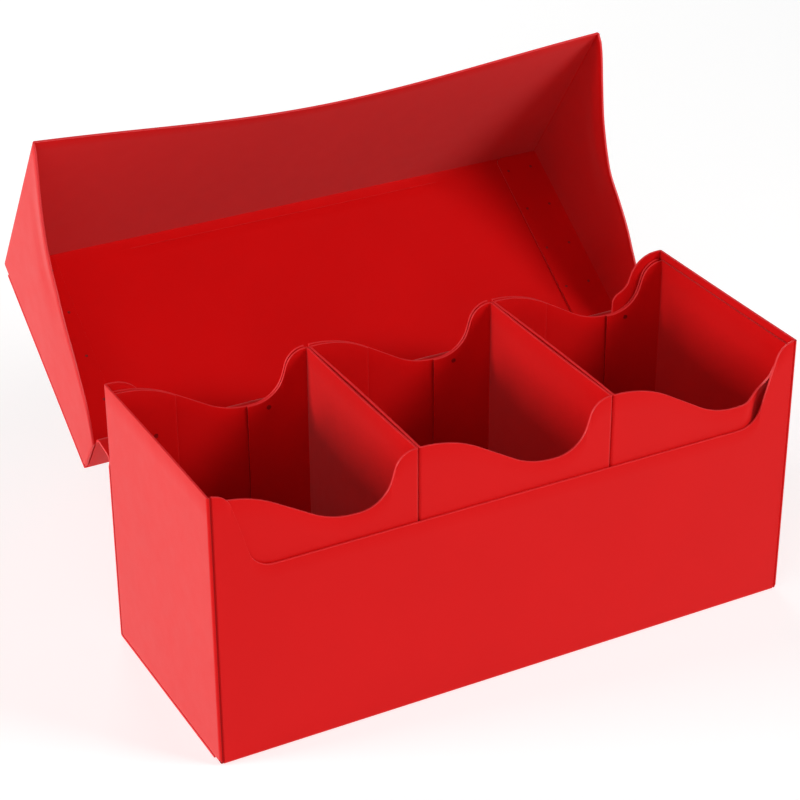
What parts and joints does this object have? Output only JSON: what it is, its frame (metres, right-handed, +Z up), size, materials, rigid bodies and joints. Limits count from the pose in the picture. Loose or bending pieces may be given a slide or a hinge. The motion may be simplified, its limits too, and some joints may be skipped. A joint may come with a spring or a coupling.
{
  "type": "card deck box",
  "caption": "Folded plastic deck box with side-by-side card inserts, a recessed front wall and a deep lid that swings back on a creased hinge strip.",
  "frame": {"origin": "centre of the base panel's underside, on the surface that the box stands on", "axes": "+X to the right along the row of inserts, -Y to the front wall, +Z up"},
  "size_m": [0.2212, 0.1762, 0.1681],
  "materials": {
    "shell_sheet": "fine satin, extruded polypropylene sheet",
    "insert_sheet": "fine satin, extruded polypropylene sheet"
  },
  "bodies": {
    "box": {"base_panel": "shell_sheet", "front_wall": "shell_sheet", "back_wall": "shell_sheet", "left_wall": "shell_sheet", "right_wall": "shell_sheet", "left_back_ear": "shell_sheet", "right_back_ear": "shell_sheet", "left_base_flap": "shell_sheet", "right_base_flap": "shell_sheet", "left_insert_floor": "insert_sheet", "left_insert_front": "insert_sheet", "left_insert_back": "insert_sheet", "left_insert_left_side": "insert_sheet", "left_insert_right_side": "insert_sheet", "left_insert_left_flap": "insert_sheet", "left_insert_right_flap": "insert_sheet", "middle_insert_floor": "insert_sheet", "middle_insert_front": "insert_sheet", "middle_insert_back": "insert_sheet", "middle_insert_left_side": "insert_sheet", "middle_insert_right_side": "insert_sheet", "middle_insert_left_flap": "insert_sheet", "middle_insert_right_flap": "insert_sheet", "right_insert_floor": "insert_sheet", "right_insert_front": "insert_sheet", "right_insert_back": "insert_sheet", "right_insert_left_side": "insert_sheet", "right_insert_right_side": "insert_sheet", "right_insert_left_flap": "insert_sheet", "right_insert_right_flap": "insert_sheet"},
    "hinge_strip": {"hinge_strip": "shell_sheet"},
    "lid": {"lid_back": "shell_sheet", "lid_top": "shell_sheet", "lid_front": "shell_sheet", "lid_left_side": "shell_sheet", "lid_right_side": "shell_sheet", "lid_left_flap": "shell_sheet", "lid_right_flap": "shell_sheet"}
  },
  "joints": [
    {"name": "strip_fold", "type": "hinge", "parent": "box", "child": "hinge_strip", "pos_m": [0, 0.0422, 0.0714], "axis": [-1, 0, 0], "range_deg": [-80, 0]},
    {"name": "lid_fold", "type": "hinge", "parent": "hinge_strip", "child": "lid", "pos_m": [0, 0.05205, 0.07314], "axis": [-1, 0, 0], "range_deg": [-65.3, 55]}
  ]
}
